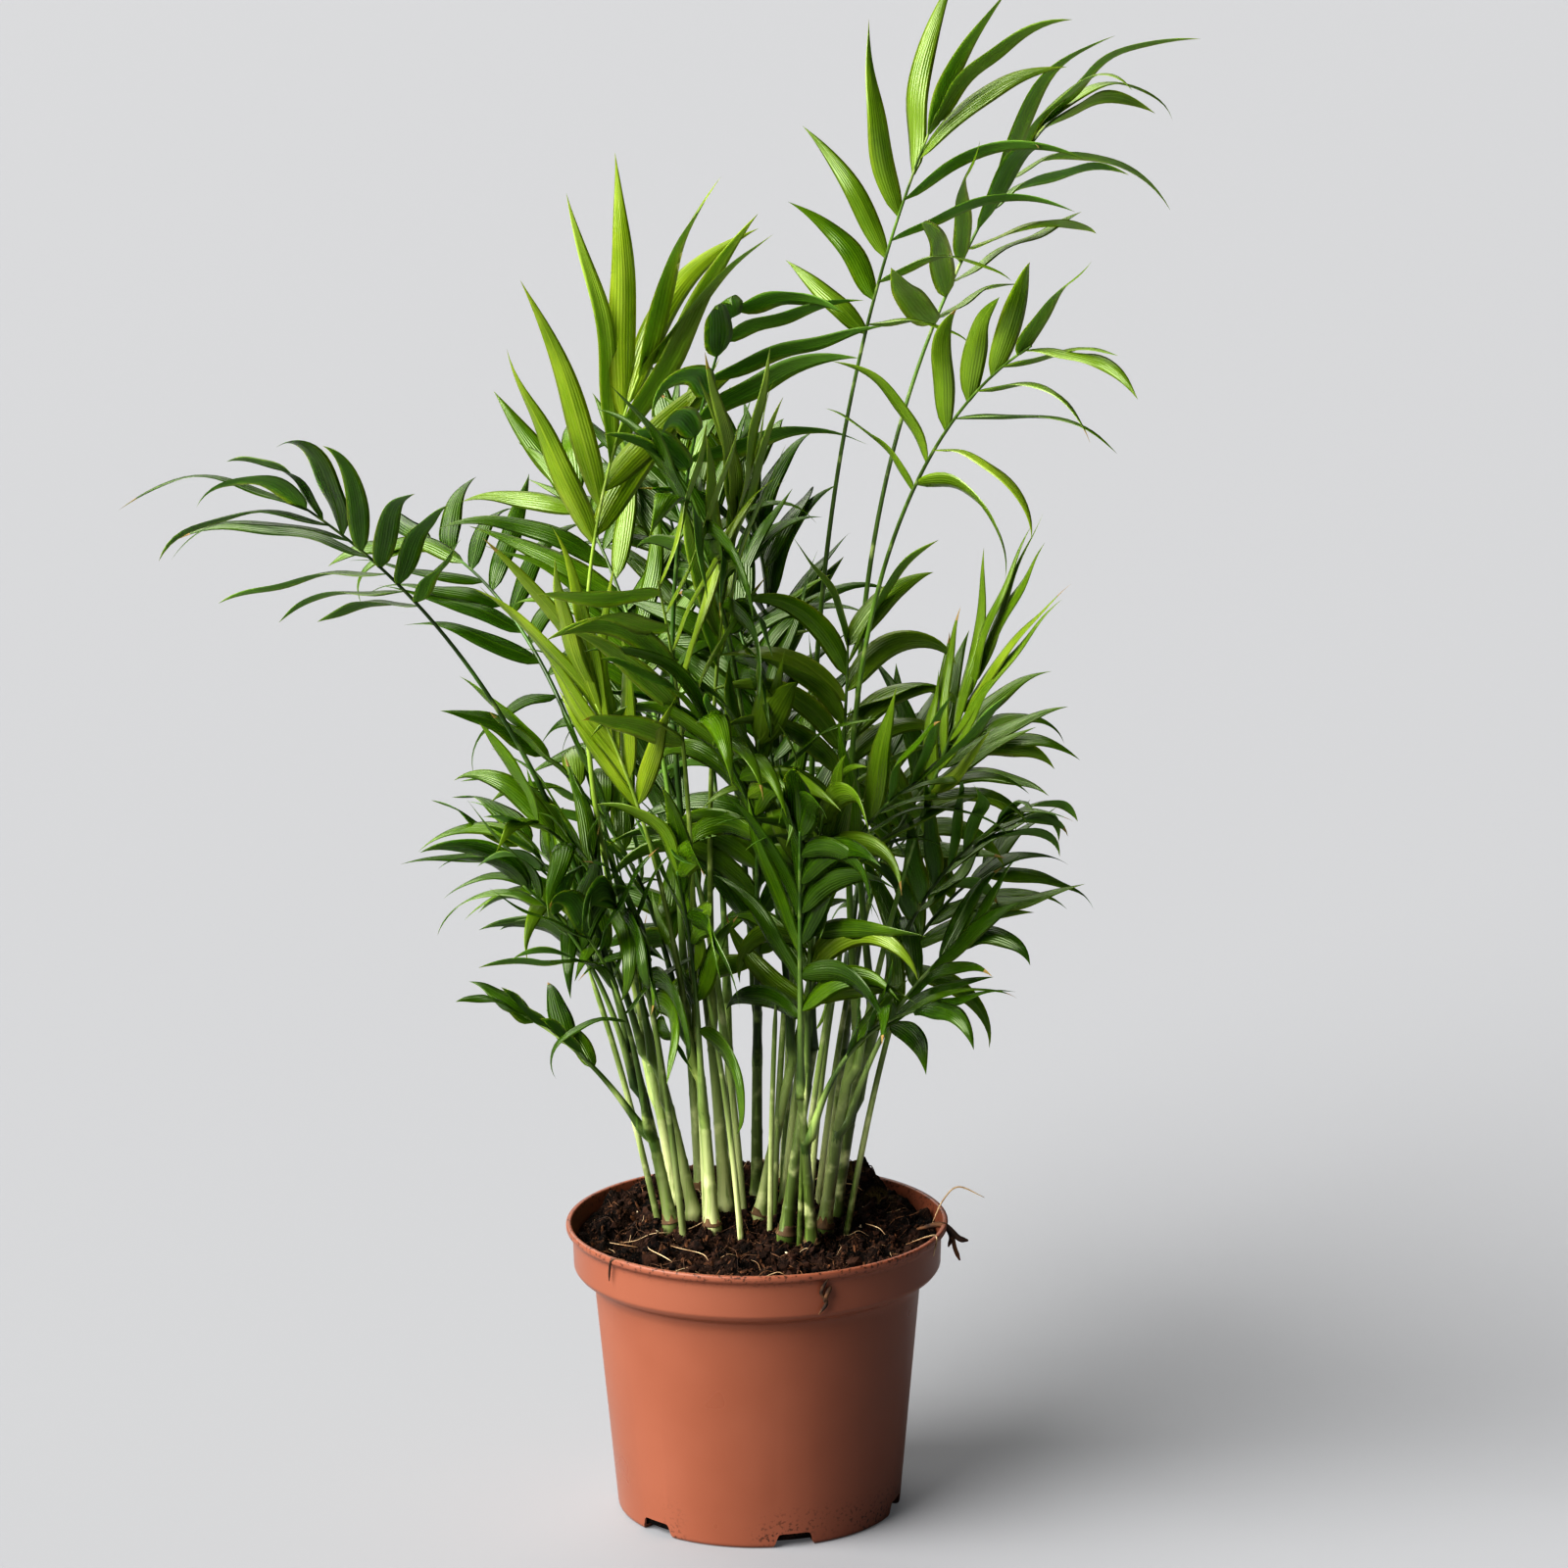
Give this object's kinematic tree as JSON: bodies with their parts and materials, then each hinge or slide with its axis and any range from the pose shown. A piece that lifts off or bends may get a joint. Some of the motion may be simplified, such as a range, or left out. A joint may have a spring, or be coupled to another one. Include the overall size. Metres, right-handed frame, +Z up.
{
  "type": "potted parlour palm",
  "caption": "Clump-forming indoor palm with slim upright stalks and arching feather-shaped fronds, growing in a tapered round nursery pot filled with peat.",
  "frame": {"origin": "centre of the pot's flat underside", "axes": "+Z up along the pot's axis, +X to the right and +Y away from the front of the crown"},
  "size_m": [0.3198, 0.265, 0.4796],
  "materials": {
    "pot_plastic": "thin terracotta-coloured plastic with a soft sheen",
    "peat": "dark brown fibrous peat compost",
    "stalk": "smooth pale green stalks, brown at the foot",
    "leaf": "satin deep green leaflets, the young ones yellow green"
  },
  "bodies": {
    "root": {"pot": "pot_plastic", "soil": "peat", "stem_01": "stalk", "stem_02": "stalk", "stem_03": "stalk", "stem_04": "stalk", "stem_05": "stalk", "stem_06": "stalk", "stem_07": "stalk", "stem_08": "stalk", "stem_09": "stalk", "stem_10": "stalk", "stem_11": "stalk", "stem_12": "stalk", "stem_13": "stalk", "stem_14": "stalk", "stem_15": "stalk", "stem_16": "stalk", "frond_01": "leaf", "frond_02": "leaf", "frond_03": "leaf", "frond_04": "leaf", "frond_05": "leaf", "frond_06": "leaf", "frond_07": "leaf", "frond_08": "leaf", "frond_09": "leaf", "frond_10": "leaf", "frond_11": "leaf", "frond_12": "leaf", "frond_13": "leaf", "frond_14": "leaf", "frond_15": "leaf", "frond_16": "leaf", "frond_17": "leaf", "frond_18": "leaf", "frond_19": "leaf", "frond_20": "leaf", "frond_21": "leaf", "frond_22": "leaf", "frond_23": "leaf", "frond_24": "leaf", "frond_25": "leaf", "frond_26": "leaf", "frond_27": "leaf", "frond_28": "leaf", "frond_29": "leaf", "frond_30": "leaf", "frond_31": "leaf", "frond_32": "leaf", "frond_33": "leaf", "frond_34": "leaf", "frond_35": "leaf", "frond_36": "leaf", "frond_37": "leaf", "frond_38": "leaf", "frond_39": "leaf", "frond_40": "leaf", "frond_41": "leaf"}
  },
  "joints": []
}
